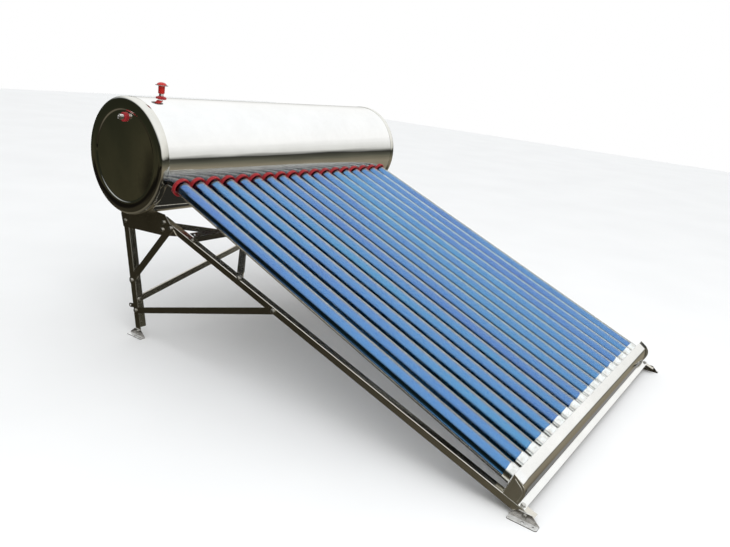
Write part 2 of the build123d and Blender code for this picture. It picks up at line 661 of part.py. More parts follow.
def cross_rail():
    """Channel across both rails, just in front of the tank."""
    low = RAIL_HEIGHT / 2
    high = low + CROSS_RAIL_HEIGHT
    front = CROSS_RAIL_FRONT
    back = front + CROSS_RAIL_DEPTH
    span = (SIDE, -SIDE)
    rail = block(RAIL, (front, front + SHEET), (low, high), span)
    rail += block(RAIL, (front, back), (low, low + SHEET), span)
    rail += block(RAIL, (front, back), (high - SHEET, high), span)
    for x in (SIDE + FLANGE_BOLT, -SIDE - FLANGE_BOLT):
        rail -= flange_hole(x, front + 16)
    for x in (corner_brace_x(), -corner_brace_x()):
        rail -= tab_hole(x)
    return rail


def corner_brace_x():
    """Where a 45 degree corner brace meets the cross rail."""
    return SIDE + FLANGE_BOLT + CROSS_RAIL_FRONT - CORNER_BRACE_FOOT


def tab_hole(x):
    """Hole along the slope through a brace tab and the cross rail's web."""
    return rod(up_slope(x, CROSS_RAIL_FRONT, RAIL_HEIGHT / 2 + 13), 0, 0, BOLT_HOLE, -6, 6)


def corner_brace_left():
    """Angle brace lying on the rail, running at 45 degrees to the cross rail."""
    flat = rail_top(SIDE + FLANGE_BOLT, CORNER_BRACE_FOOT, RAIL_HEIGHT / 2)
    rise = CROSS_RAIL_FRONT - CORNER_BRACE_FOOT
    reach = hypot(rise, rise)
    bar = Rot(0, 0, 45) * Pos(reach / 2, 0, SHEET / 2) * Box(reach + 40, 25, SHEET)
    bar += Cylinder(12.5, SHEET, align=(Align.CENTER, Align.CENTER, Align.MIN))
    bar += Rot(0, 0, 45) * Pos(reach / 2 + 4, -11.5, 7) * Box(reach - 50, 2, 14)
    bar &= Pos(0, rise / 2 - 8, 0) * Box(3 * rise, rise + 16, 60)
    bar += Pos(rise, rise - SHEET / 2, 11) * Box(30, SHEET, 22)
    bar -= Cylinder(BOLT_HOLE, 10)
    return flat * bar - tab_hole(corner_brace_x())


def lower_cross_rail():
    """Bright angle across both rails in front of the tray."""
    low = RAIL_HEIGHT / 2
    rail = block(RAIL, (LOWER_RAIL_FRONT, LOWER_RAIL_BACK), (low, low + SHEET), (SIDE, -SIDE))
    inside = -SIDE - RAIL_FLANGE - 2
    rail += block(RAIL, (LOWER_RAIL_FRONT, LOWER_RAIL_FRONT + SHEET), (low - 6, low + SHEET), (-inside, inside))
    for x in (SIDE + FLANGE_BOLT, -SIDE - FLANGE_BOLT):
        rail -= flange_hole(x, LOWER_RAIL_BOLT)
    return rail


# ---------------------------------------------------------------- feet and fasteners
def foot_left(pivot):
    """Bent-sheet shoe: upright ear on the pivot, base flange with two anchor holes."""
    inner = SIDE - FOOT_GAP
    outer = inner - FOOT_SHEET
    half = FOOT_LENGTH / 2
    ground = GROUND
    y = pivot[0]
    ear = [(y - half, ground), (y + half, ground), (y + half, ground + 6), (y + 20, pivot[1] + 11),
           (y - 20, pivot[1] + 11), (y - half, ground + 4)]
    shoe = sheet(SECTION, ear, outer, inner)
    shoe += block(SECTION, (y - half, y + half), (ground, ground + FOOT_SHEET), (outer - FOOT_FLANGE, inner))
    shoe -= rod(SECTION, pivot[0], pivot[1], PIVOT_HOLE, outer - 1, inner + 1)
    for across, radius in ((y, ANCHOR_RADIUS), (y - 32, 3.0)):
        spot = place(across, ground, outer - FOOT_FLANGE / 2)
        shoe -= Pos(*spot) * Cylinder(radius, 3 * FOOT_SHEET)
    corner = shoe.edges().filter_by(Axis.Z).sort_by(Axis.X)[:2]
    return fillet(corner, 6)


def pivot_bolts():
    """Pivot bolts of the four feet."""
    outer = SIDE - 2 * FOOT_GAP - FOOT_SHEET
    made = [bolt(plane, 0, 0, outer, SIDE + SHEET) for plane in (RAIL, LEG)]
    return group(both_sides(made))


def side_bolts():
    """Bolts along X in the left side frame."""
    inner = SIDE + SHEET
    made = []
    for point in (rail_point(SADDLE_BOLT_Y), leg_point(SADDLE_BOLT_Z), leg_point(TIE_AT_LEG_Z),
                  rail_point(TIE_AT_RAIL_Y)):
        made.append(bolt(SECTION, *point, SIDE - SHEET, inner))
    made.append(bolt(SECTION, *rail_point(BRACE_AT_RAIL_Y), SIDE - 2 * SHEET, inner))
    made.append(bolt(SECTION, *SADDLE_SPARE, SIDE - SHEET, SIDE))
    spacer = leg_point(BRACE_AT_LEG_Z)
    made.append(bolt(SECTION, *spacer, SIDE - 2 * SHEET, inner))
    ring = rod(SECTION, *spacer, HEAD_FLATS / 2 + 2, SIDE - SHEET, SIDE) - rod(SECTION, *spacer, BOLT_HOLE,
                                                                              SIDE - 3, SIDE + 1)
    made.append(ring)
    return made


def strap_bolts():
    """Bolts through the leg flanges that hold the rear straps."""
    made = []
    front = LEG_WIDTH / 2
    for x, z, grip in ((SIDE + LEG_BOLT, STRAP_LOW_Z, (front, front - 2 * SHEET)),
                       (-SIDE - LEG_BOLT, STRAP_HIGH_Z, (front, front - 2 * SHEET)),
                       (SIDE + LEG_BOLT, STRAP_HIGH_Z, (front + SHEET, front - SHEET)),
                       (-SIDE - LEG_BOLT, STRAP_LOW_Z, (front + SHEET, front - SHEET))):
        at = LEG.from_local_coords(Vector(leg_z(z), 0, x))
        along = Plane(origin=at, x_dir=(1, 0, 0), z_dir=(0, -cos(LEAN), sin(LEAN)))
        made.append(bolt(along, 0, 0, *grip))
    return made


def slope_bolts():
    """Bolts on the rails' top flanges and in the corner brace tabs, left side."""
    half = RAIL_HEIGHT / 2
    made = []
    for along, thick in ((CROSS_RAIL_FRONT + 16, SHEET), (CORNER_BRACE_FOOT, SHEET),
                         (LOWER_RAIL_BOLT, SHEET), (TRAY_BOLT, TRAY_SHEET + 0.2)):
        made.append(bolt(rail_top(SIDE + FLANGE_BOLT, along), 0, 0, half + thick, half - SHEET))
    made.append(bolt(up_slope(corner_brace_x(), CROSS_RAIL_FRONT, half + 13), 0, 0, -SHEET, SHEET))
    return made


# ---------------------------------------------------------------- all nodes
def build_nodes():
    """Every separate piece of the heater, by name."""
    cap = end_cap_left()
    port = port_pipe_left()
    tray_end = tray_end_left()
    nodes = {
        "tank_shell": tank_shell(), "end_cap_left": cap, "end_cap_right": mirrored(cap),
        "inner_tank": inner_tank(), "foam_insulation": foam_insulation(), "magnesium_anode": magnesium_anode(),
        "vent_pipe": vent_pipe(), "vent_cap": vent_cap(), "vent_seal": vent_seal(),
        "port_pipe_left": port, "port_pipe_right": mirrored(port),
        "port_seals": group(both_sides([port_seal_left()])),
        "tube_seals": group([tube_seal(f) for f in tube_frames()]),
        "dust_rings": group([dust_ring(f) for f in tube_frames()]),
        "absorber_tubes": group([absorber_tube(f) for f in tube_frames()]),
        "getter_clips": group([getter_clip(f) for f in tube_frames()]),
        "tail_cups": group([tail_cup(f) for f in tube_frames()]),
        "tail_tray": tail_tray(), "tail_tray_end_left": tray_end, "tail_tray_end_right": mirrored(tray_end),
        "upper_cross_rail": cross_rail(), "lower_cross_rail": lower_cross_rail(),
        "pivot_bolts": pivot_bolts(),
        "frame_bolts": group(both_sides(side_bolts() + slope_bolts()) + strap_bolts()),
    }
    low, high = SIDE + LEG_BOLT, -SIDE - LEG_BOLT
    behind = (LEG_WIDTH / 2 - 2 * SHEET, LEG_WIDTH / 2 - SHEET)
    before = (LEG_WIDTH / 2, LEG_WIDTH / 2 + SHEET)
    nodes["rear_strap_a"] = rear_strap(low, high, behind)
    nodes["rear_strap_b"] = rear_strap(high, low, before)
    pairs = {"rail": rail_left, "rear_leg": rear_leg_left, "saddle": saddle_left, "side_tie": tie_left,
             "side_brace": brace_left, "corner_brace": corner_brace_left}
    for name, make in pairs.items():
        left = make()
        nodes[name + "_left"] = left
        nodes[name + "_right"] = mirrored(left)
    for name, pivot in (("front_foot", FRONT_PIVOT), ("rear_foot", REAR_PIVOT)):
        left = foot_left(pivot)
        nodes[name + "_left"] = left
        nodes[name + "_right"] = mirrored(left)
    for number, frame in enumerate(tube_frames(), start=1):
        nodes[f"vacuum_tube_{number:02d}"] = vacuum_tube(frame)
    return nodes


os.makedirs("parts", exist_ok=True)
for node_name, shape in build_nodes().items():
    shape.label = node_name
    export_step(shape, os.path.join("parts", node_name + ".step"))
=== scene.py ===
"""Looks of the solar water heater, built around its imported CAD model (metres, +Z up)."""
from math import acos, cos, degrees, pi, radians, sin

import bmesh
import bpy
from mathutils import Matrix, Vector


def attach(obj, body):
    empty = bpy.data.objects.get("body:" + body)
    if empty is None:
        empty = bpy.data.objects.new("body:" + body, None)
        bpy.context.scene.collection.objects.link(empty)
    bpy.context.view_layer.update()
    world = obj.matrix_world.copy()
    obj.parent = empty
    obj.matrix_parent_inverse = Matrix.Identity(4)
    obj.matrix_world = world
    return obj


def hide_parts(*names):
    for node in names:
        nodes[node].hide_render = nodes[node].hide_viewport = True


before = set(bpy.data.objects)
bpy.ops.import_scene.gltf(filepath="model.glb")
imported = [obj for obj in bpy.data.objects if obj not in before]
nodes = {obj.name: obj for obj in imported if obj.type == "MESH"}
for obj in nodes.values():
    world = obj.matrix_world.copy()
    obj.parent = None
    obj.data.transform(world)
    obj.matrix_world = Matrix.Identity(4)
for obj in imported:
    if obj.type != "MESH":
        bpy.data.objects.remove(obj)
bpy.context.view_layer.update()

# ---------------------------------------------------------------- places and sizes
AXIS_Y = 0.7975                # tank axis
AXIS_Z = 0.757
HALF = 0.790                   # half the tank's length
CAP_RADIUS = 0.228
SHELL_RADIUS = 0.2268
CAP_SKIRT = 0.036
CAP_CORNER = 0.014
CAP_SKIN = 0.0012
PANEL_RADIUS = 0.178           # round panel set back in the cap face
PANEL_STEP = 0.010
PANEL_DEPTH = 0.0035
SHELL_INSET = 0.016            # shell end behind the cap face
SHELL_SHEET = 0.001

TUBE_COUNT = 18
TUBE_PITCH = 0.080
TUBE_TILT = radians(21)
TUBE_DROP = 0.012
TUBE_RADIUS = 0.029
TUBE_WALL = 0.0016
TUBE_MOUTH = 0.078
TUBE_END = 1.878
TIP_RADIUS = 0.004             # sealed-off tip of the outer glass
ABSORBER_RADIUS = 0.0235
ABSORBER_END = TUBE_END - 0.048
COATING_END = 1.806            # where the blue coating gives way to the silvered end
FILM_SKIN = 0.0003
CUP_RIM = TUBE_END - 0.046

RAIL_TILT = radians(17.65)
FRONT_PIVOT = Vector((0, -1.777 + AXIS_Y, -0.740 + AXIS_Z))
SIDE = 0.735
TRAY_BACK = 0.083
TRAY_FRONT = 0.032
TRAY_LOW = 0.0132
TRAY_TOP = TRAY_LOW + 0.0767
TRAY_BOW = (TRAY_FRONT + 0.0030, TRAY_LOW + 0.0314)
TRAY_SHEET = 0.001
TRAY_PLATE = 0.0015
TRAY_HOLE = TUBE_RADIUS + 0.0022
CREASE = (0.050, TRAY_LOW + 0.0668)

VENT_LEAN = radians(3)
VENT_X = -HALF + 0.161
PORT_HEIGHT = 0.150
THREAD_PITCH = 0.0018

UP_RAIL = Vector((0, cos(RAIL_TILT), sin(RAIL_TILT)))
OFF_RAIL = Vector((0, -sin(RAIL_TILT), cos(RAIL_TILT)))
DOWN_TUBE = Vector((0, -cos(TUBE_TILT), -sin(TUBE_TILT)))
TANK_CENTRE = Vector((0, AXIS_Y, AXIS_Z))
TUBE_START = TANK_CENTRE + TUBE_DROP * Vector((0, sin(TUBE_TILT), -cos(TUBE_TILT)))

FLOOR_HALF = 14
FINE_GRAIN = 0.0002            # depth of the finest surface marks
ALONG_X = (0.15, 6, 6)         # rolling streaks that run along the heater


# ---------------------------------------------------------------- mesh helpers
def stand(origin, axis):
    """Matrix that puts local Z along an axis at a place, with local X kept level."""
    z = Vector(axis).normalized()
    x = Vector((1, 0, 0)) if abs(z.x) < 0.9 else Vector((0, 1, 0))
    y = z.cross(x).normalized()
    x = y.cross(z)
    return Matrix.Translation(origin) @ Matrix((x, y, z)).transposed().to_4x4()


def piece(name, bm, material, replaces=(), body="heater", sharp=40):
    """Makes an object of a bmesh, shades it and rides it on a CAD body."""
    bmesh.ops.recalc_face_normals(bm, faces=bm.faces)
    mesh = bpy.data.meshes.new(name)
    bm.to_mesh(mesh)
    bm.free()
    mesh.shade_smooth()
    mesh.set_sharp_from_angle(angle=radians(sharp))
    obj = bpy.data.objects.new(name, mesh)
    bpy.context.scene.collection.objects.link(obj)
    obj.data.materials.append(material)
    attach(obj, body)
    if replaces:
        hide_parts(*replaces)
    return obj


def lathe(bm, profile, place, segments=64, wobble=None):
    """Adds a turned solid: a closed loop of (radius, height) points about local Z.

    A wobble function gives an extra height for a point's number and its turn round the axis.
    """
    rings = []
    for number, (radius, height) in enumerate(profile):
        if radius < 1e-7:
            rings.append([bm.verts.new(place @ Vector((0, 0, height)))])
            continue
        ring = []
        for step in range(segments):
            turn = 2 * pi * step / segments
            lift = wobble(number, turn) if wobble else 0.0
            ring.append(bm.verts.new(place @ Vector((radius * cos(turn), radius * sin(turn), height + lift))))
        rings.append(ring)
    for low, high in zip(rings, rings[1:] + rings[:1]):
        if len(low) == 1 and len(high) == 1:
            continue
        for step in range(segments):
            after = (step + 1) % segments
            loop = [low[step % len(low)], low[after % len(low)]]
            loop += [high[after % len(high)], high[step % len(high)]]
            loop = [v for n, v in enumerate(loop) if v not in loop[:n]]
            if len(loop) > 2:
                bm.faces.new(loop)


def arc(centre, radius, start, end, steps):
    """Points on an arc in the profile plane, angles in degrees from outward radius."""
    points = []
    for n in range(steps + 1):
        angle = radians(start + (end - start) * n / steps)
        points.append((centre[0] + radius * cos(angle), centre[1] + radius * sin(angle)))
    return points


def three_point_arc(a, b, c, steps):
    """Points on the circle through three points, from the first to the last."""
    ax, ay, bx, by, cx, cy = *a, *b, *c
    d = 2 * (ax * (by - cy) + bx * (cy - ay) + cx * (ay - by))
    ux = ((ax**2 + ay**2) * (by - cy) + (bx**2 + by**2) * (cy - ay) + (cx**2 + cy**2) * (ay - by)) / d
    uy = ((ax**2 + ay**2) * (cx - bx) + (bx**2 + by**2) * (ax - cx) + (cx**2 + cy**2) * (bx - ax)) / d
    middle = Vector((ux, uy))
    first = Vector(a) - middle
    turn_b = first.angle_signed(Vector(b) - middle)
    turn_c = first.angle_signed(Vector(c) - middle)
    if turn_b * turn_c < 0 or abs(turn_b) > abs(turn_c):
        turn_c -= 2 * pi if turn_c > 0 else -2 * pi
    points = []
    for n in range(steps + 1):
        turn = -turn_c * n / steps
        spun = Vector((first.x * cos(turn) - first.y * sin(turn), first.x * sin(turn) + first.y * cos(turn)))
        points.append(tuple(middle + spun))
    return points


def tube_places():
    """Matrix of each tube: local Z runs down the tube from beside the tank axis."""
    for n in range(TUBE_COUNT):
        x = (n - (TUBE_COUNT - 1) / 2) * TUBE_PITCH
        yield stand(TUBE_START + Vector((x, 0, 0)), DOWN_TUBE)


# ---------------------------------------------------------------- materials
class Nodes:
    """A material and short ways to add nodes to it."""

    def __init__(self, name):
        self.material = bpy.data.materials.new(name)
        self.material.use_nodes = True
        self.tree = self.material.node_tree
        self.shader = self.tree.nodes["Principled BSDF"]
        self.texture = self.tree.nodes.new("ShaderNodeTexCoord")
        self.coords = self.texture.outputs["Object"]

    def set(self, **values):
        """Sets shader inputs by name, with underscores for the spaces."""
        for name, value in values.items():
            self.shader.inputs[name.replace("_", " ")].default_value = value

    def link(self, out, socket):
        """Feeds a shader input."""
        self.tree.links.new(out, self.shader.inputs[socket])

    def stretched(self, scale):
        """Object coordinates scaled along each axis."""
        node = self.tree.nodes.new("ShaderNodeMapping")
        node.inputs["Scale"].default_value = scale
        self.tree.links.new(self.coords, node.inputs["Vector"])
        return node.outputs["Vector"]

    def noise(self, scale, detail=3.0, stretch=(1, 1, 1), rough=0.5):
        """Cloudy noise; a stretch below one draws it out along that axis."""
        node = self.tree.nodes.new("ShaderNodeTexNoise")
        node.inputs["Scale"].default_value = scale
        node.inputs["Detail"].default_value = detail
        node.inputs["Roughness"].default_value = rough
        self.tree.links.new(self.stretched(stretch), node.inputs["Vector"])
        return node.outputs["Fac"]

    def ramp(self, factor, stops):
        """A colour for each value of the factor, from (place, colour) stops."""
        node = self.tree.nodes.new("ShaderNodeValToRGB")
        ramp = node.color_ramp
        while len(ramp.elements) < len(stops):
            ramp.elements.new(0.5)
        for element, (place, colour) in zip(ramp.elements, stops):
            element.position = place
            element.color = (*colour, 1)
        self.tree.links.new(factor, node.inputs["Fac"])
        return node.outputs["Color"]

    def darker_in_mirrors(self, colour, share):
        """The same colour, but only this share of it where another mirror surface shows it."""
        rays = self.tree.nodes.new("ShaderNodeLightPath")
        seen = self.tree.nodes.new("ShaderNodeMath")
        seen.operation = "GREATER_THAN"
        seen.inputs[1].default_value = 0.5
        self.tree.links.new(rays.outputs["Glossy Depth"], seen.inputs[0])
        shaded = self.ramp(seen.outputs[0], [(0.0, (1, 1, 1)), (1.0, (share, share, share))])
        return self.mixed(None, colour, shaded, "MULTIPLY")

    def mixed(self, factor, first, second, blend="MIX"):
        """Two colours mixed by a factor, or in full if there is none."""
        mix = self.tree.nodes.new("ShaderNodeMix")
        mix.data_type = "RGBA"
        mix.blend_type = blend
        if factor is None:
            mix.inputs["Factor"].default_value = 1.0
        else:
            self.tree.links.new(factor, mix.inputs["Factor"])
        colours = [s for s in mix.inputs if s.type == "RGBA"]
        self.tree.links.new(first, colours[0])
        self.tree.links.new(second, colours[1])
        return [s for s in mix.outputs if s.type == "RGBA"][0]

    def range(self, factor, low, high, from_low=0.0, from_high=1.0):
        """The factor moved from one range of values to another."""
        node = self.tree.nodes.new("ShaderNodeMapRange")
        node.inputs["From Min"].default_value = from_low
        node.inputs["From Max"].default_value = from_high
        node.inputs["To Min"].default_value = low
        node.inputs["To Max"].default_value = high
        self.tree.links.new(factor, node.inputs["Value"])
        return node.outputs["Result"]

    def bump(self, height, strength, distance, below=None):
        """Surface relief, laid over another bump if one is given."""
        node = self.tree.nodes.new("ShaderNodeBump")
        node.inputs["Strength"].default_value = strength
        node.inputs["Distance"].default_value = distance
        self.tree.links.new(height, node.inputs["Height"])
        if below is not None:
            self.tree.links.new(below, node.inputs["Normal"])
        return node.outputs["Normal"]


def steel(name, light, dark, rough, streak=(1, 1, 1), wave=0.0, grain=0.15, in_mirrors=1.0):
    """Stainless sheet: faint smears, rolling streaks and, if asked, gentle buckles."""
    made = Nodes(name)
    smear = made.noise(9, 5, rough=0.6)
    colour = made.ramp(smear, [(0.3, dark), (0.7, light)])
    # painted shade in reflections: where another mirror shows this sheet, its colour drops to the in_mirrors
    # share
    if in_mirrors < 1:
        colour = made.darker_in_mirrors(colour, in_mirrors)
    made.link(colour, "Base Color")
    made.set(Metallic=1.0)
    lines = made.noise(60, 4, streak, 0.6)
    made.link(made.range(lines, rough[0], rough[1], 0.3, 0.7), "Roughness")
    normal = made.bump(lines, grain, FINE_GRAIN)
    if wave:
        normal = made.bump(made.noise(4, 1.5, (0.6, 1, 1)), wave, 0.004, normal)
    made.link(normal, "Normal")
    return made.material


def foot_sheet():
    """Darker sheet on the upright ears; faces turned up, the base, are painted pale and less metallic as a
    painted highlight of the light falling on them, with random wear over both.
    """
    made = Nodes("foot_steel")
    wear = made.noise(70, 4)
    facing = made.tree.nodes.new("ShaderNodeSeparateXYZ")
    made.tree.links.new(made.texture.outputs["Normal"], facing.inputs[0])
    # painted highlight: faces turned up get a paler, less metallic colour than the upright ears
    painted_top_light = made.range(facing.outputs["Z"], 0.0, 1.0, 0.7, 0.95)
    ear = made.ramp(wear, [(0.3, (0.40, 0.38, 0.36)), (0.7, (0.54, 0.52, 0.49))])
    painted_lit_flange = made.ramp(wear, [(0.3, (0.66, 0.66, 0.64)), (0.6, (0.88, 0.88, 0.87))])
    made.link(made.mixed(painted_top_light, ear, painted_lit_flange), "Base Color")
    made.link(made.range(painted_top_light, 1.0, 0.35), "Metallic")
    made.link(made.range(wear, 0.18, 0.34), "Roughness")
    made.link(made.bump(wear, 0.1, FINE_GRAIN), "Normal")
    return made.material


def rubber(name, light, dark):
    """Silicone rubber with a fine skin and a little dust."""
    made = Nodes(name)
    dust = made.noise(120, 5)
    made.link(made.ramp(dust, [(0.35, dark), (0.7, light)]), "Base Color")
    made.link(made.range(dust, 0.35, 0.55), "Roughness")
    made.set(Specular_IOR_Level=0.45)
    made.link(made.bump(made.noise(900, 2), 0.12, 0.0004), "Normal")
    return made.material


def plastic(name, light, dark, rough):
    """Moulded plastic with a slight orange-peel skin."""
    made = Nodes(name)
    made.link(made.ramp(made.noise(25, 4), [(0.3, dark), (0.7, light)]), "Base Color")
    made.link(made.range(made.noise(140, 3), rough, rough + 0.12), "Roughness")
    made.link(made.bump(made.noise(450, 2), 0.08, 0.0003), "Normal")
    return made.material


def clear_glass():
    """Borosilicate tube glass with faint drawn streaks."""
    made = Nodes("borosilicate_glass")
    lines = made.noise(18, 3, (30, 1, 1))
    made.link(made.ramp(lines, [(0.3, (0.97, 0.99, 0.985)), (0.7, (1, 1, 1))]), "Base Color")
    made.link(made.range(lines, 0.0, 0.015), "Roughness")
    made.set(Transmission_Weight=1.0, IOR=1.47)
    made.link(made.bump(lines, 0.02, FINE_GRAIN), "Normal")
    return made.material


def blue_coating():
    """Selective coating: deep blue, metallic, with soft drifts of shade along the tube.

    Where another mirror surface shows it, its colour is cut to a small share, so its reflections are painted
    almost black.
    """
    made = Nodes("selective_coating")
    drift = made.noise(3, 4, (3, 0.4, 0.4))
    blue = made.ramp(drift, [(0.3, (0.055, 0.18, 0.50)), (0.5, (0.06, 0.23, 0.53)),
                             (0.7, (0.055, 0.27, 0.53))])
    # painted shade in reflections: seen in another mirror, the blue drops to 6 percent of itself
    made.link(made.darker_in_mirrors(blue, 0.06), "Base Color")
    made.set(Metallic=1.0)
    made.link(made.range(made.noise(40, 4, (4, 0.3, 0.3)), 0.07, 0.14), "Roughness")
    made.link(made.bump(made.noise(120, 2, (1, 0.06, 0.06)), 0.01, FINE_GRAIN), "Normal")
    return made.material


def silver_film():
    """Bright getter film on the inside of a tube's closed end."""
    made = Nodes("getter_film")
    cloud = made.noise(45, 5)
    made.link(made.ramp(cloud, [(0.3, (0.72, 0.70, 0.66)), (0.6, (0.94, 0.94, 0.93))]), "Base Color")
    made.set(Metallic=1.0)
    made.link(made.range(cloud, 0.06, 0.22), "Roughness")
    made.link(made.bump(made.noise(200, 3), 0.05, 0.0003), "Normal")
    return made.material


mirror_steel = steel("mirror_steel", (0.93, 0.93, 0.92), (0.88, 0.88, 0.87), (0.03, 0.07), ALONG_X,
                     0.10, 0.03)
cap_steel = steel("cap_steel", (0.80, 0.79, 0.74), (0.70, 0.69, 0.64), (0.02, 0.06), (1, 1, 1), 0.20, 0.03)
plate_steel = steel("plate_steel", (0.86, 0.83, 0.74), (0.74, 0.71, 0.62), (0.30, 0.42), (1, 4, 4), 0, 0.10)
frame_steel = steel("frame_steel", (0.74, 0.71, 0.64), (0.60, 0.57, 0.50), (0.12, 0.26), (1, 8, 8), 0, 0.15)
tray_steel = steel("tray_steel", (0.92, 0.92, 0.90), (0.84, 0.84, 0.82), (0.06, 0.14), ALONG_X, 0.08, 0.05)
# the lower cross rail: the tray's sheet, painted darker where a mirror shows it, so its painted reflection
# hardly brightens the tray's front
angle_steel = steel("angle_steel", (0.92, 0.92, 0.90), (0.84, 0.84, 0.82), (0.06, 0.14), ALONG_X, 0.08, 0.05,
                    in_mirrors=0.2)
foot_steel = foot_sheet()
tank_steel = steel("tank_steel", (0.70, 0.70, 0.71), (0.60, 0.60, 0.61), (0.25, 0.40))
pipe_steel = steel("pipe_steel", (0.80, 0.79, 0.77), (0.68, 0.67, 0.65), (0.15, 0.28))
bolt_steel = steel("bolt_steel", (0.66, 0.65, 0.62), (0.50, 0.49, 0.46), (0.22, 0.38))
red_rubber = rubber("red_silicone", (0.50, 0.025, 0.03), (0.32, 0.012, 0.018))
white_rubber = rubber("white_silicone", (0.80, 0.80, 0.78), (0.66, 0.66, 0.64))
red_plastic = plastic("red_plastic", (0.62, 0.02, 0.012), (0.45, 0.012, 0.01), 0.2)
white_plastic = plastic("white_plastic", (0.86, 0.86, 0.84), (0.78, 0.78, 0.76), 0.35)
grey_plastic = plastic("grey_plastic", (0.30, 0.28, 0.26), (0.20, 0.19, 0.18), 0.35)
foam = plastic("polyurethane_foam", (0.75, 0.66, 0.38), (0.62, 0.53, 0.28), 0.7)
glass = clear_glass()
coating = blue_coating()
film = silver_film()
magnesium = steel("cast_magnesium", (0.5, 0.5, 0.5), (0.35, 0.35, 0.35), (0.45, 0.6))

CAD_FINISHES = {
    "inner_tank": tank_steel, "foam_insulation": foam, "magnesium_anode": magnesium,
    "tube_seals": white_rubber, "getter_clips": pipe_steel,
    "upper_cross_rail": frame_steel, "lower_cross_rail": angle_steel,
    "rear_strap_a": frame_steel, "rear_strap_b": frame_steel,
    "pivot_bolts": bolt_steel, "frame_bolts": bolt_steel,
}
for hand in ("left", "right"):
    for part in ("rail", "rear_leg", "saddle", "side_tie", "side_brace", "corner_brace"):
        CAD_FINISHES[f"{part}_{hand}"] = frame_steel
    for part in ("front_foot", "rear_foot"):
        CAD_FINISHES[f"{part}_{hand}"] = foot_steel
for node, finish in CAD_FINISHES.items():
    nodes[node].data.materials.clear()
    nodes[node].data.materials.append(finish)


# ---------------------------------------------------------------- tank
def build_jacket():
    """Polished outer jacket, a closed thin drum whose ends run under the caps."""
    bm = bmesh.new()
    end = HALF - SHELL_INSET
    inside = SHELL_RADIUS - SHELL_SHEET
    profile = [(SHELL_RADIUS, -end), (SHELL_RADIUS, end), (inside, end), (inside, -end)]
    lathe(bm, profile, stand(TANK_CENTRE, (1, 0, 0)), 256)
    piece("tank_jacket", bm, mirror_steel, ["tank_shell"])


def panel_step(height, steps):
    """Points down the soft slope from the cap's rim to its panel, at this face height."""
    points = []
    for n in range(steps + 1):
        share = n / steps
        drop = PANEL_DEPTH * (1 - cos(pi * share)) / 2
        points.append((PANEL_RADIUS + PANEL_STEP * (0.5 - share), height - drop))
    return points


def cap_profile():
    """End cap section from the skirt's lip round the corner to the middle of the face."""
    skirt = HALF - CAP_SKIRT
    bend = (CAP_RADIUS - CAP_CORNER, HALF - CAP_CORNER)
    outer = [(CAP_RADIUS - 0.0004, skirt), (CAP_RADIUS, skirt + 0.0006)]
    outer += arc(bend, CAP_CORNER, 0, 90, 12)
    outer += panel_step(HALF, 12)
    outer.append((0, HALF - PANEL_DEPTH))
    inner = [(0, HALF - PANEL_DEPTH - CAP_SKIN)]
    inner += panel_step(HALF - CAP_SKIN, 8)[::-1]
    inner += arc(bend, CAP_CORNER - CAP_SKIN, 90, 0, 8)
    inner.append((CAP_RADIUS - CAP_SKIN, skirt))
    return outer + inner


def build_caps():
    """Both pressed end caps."""
    for hand, side in (("left", -1), ("right", 1)):
        bm = bmesh.new()
        lathe(bm, cap_profile(), stand(TANK_CENTRE, (side, 0, 0)), 192)
        piece(f"end_cap_face_{hand}", bm, cap_steel, [f"end_cap_{hand}"], sharp=50)


def build_ports():
    """Threaded water connections with their red seals."""
    seat = -PANEL_DEPTH
    seal = [(0.01005, seat - 0.004), (0.0139, seat - 0.004), (0.0139, seat), (0.0180, seat + 0.0002)]
    seal += arc((0.0155, 0.0030), 0.0025, 0, 90, 6) + [(0.0125, 0.0052), (0.01005, 0.0048)]
    thread = [(0.0075, -0.067), (0.0100, -0.067), (0.0100, 0.0060)]
    height = 0.0062
    while height < 0.0202:
        thread += [(0.01048, height), (0.01048, height + 0.3 * THREAD_PITCH),
                   (0.0097, height + 0.65 * THREAD_PITCH)]
        height += THREAD_PITCH
    thread += [(0.0096, 0.0218), (0.0092, 0.0220), (0.0078, 0.0220), (0.0075, 0.0216)]
    for hand, side in (("left", -1), ("right", 1)):
        place = stand(TANK_CENTRE + Vector((side * HALF, 0, PORT_HEIGHT)), (side, 0, 0))
        bm = bmesh.new()
        lathe(bm, thread, place, 48)
        piece(f"port_thread_{hand}", bm, pipe_steel, [f"port_pipe_{hand}"])
        bm = bmesh.new()
        lathe(bm, seal, place, 64)
        piece(f"port_ring_{hand}", bm, red_rubber, ["port_seals"])


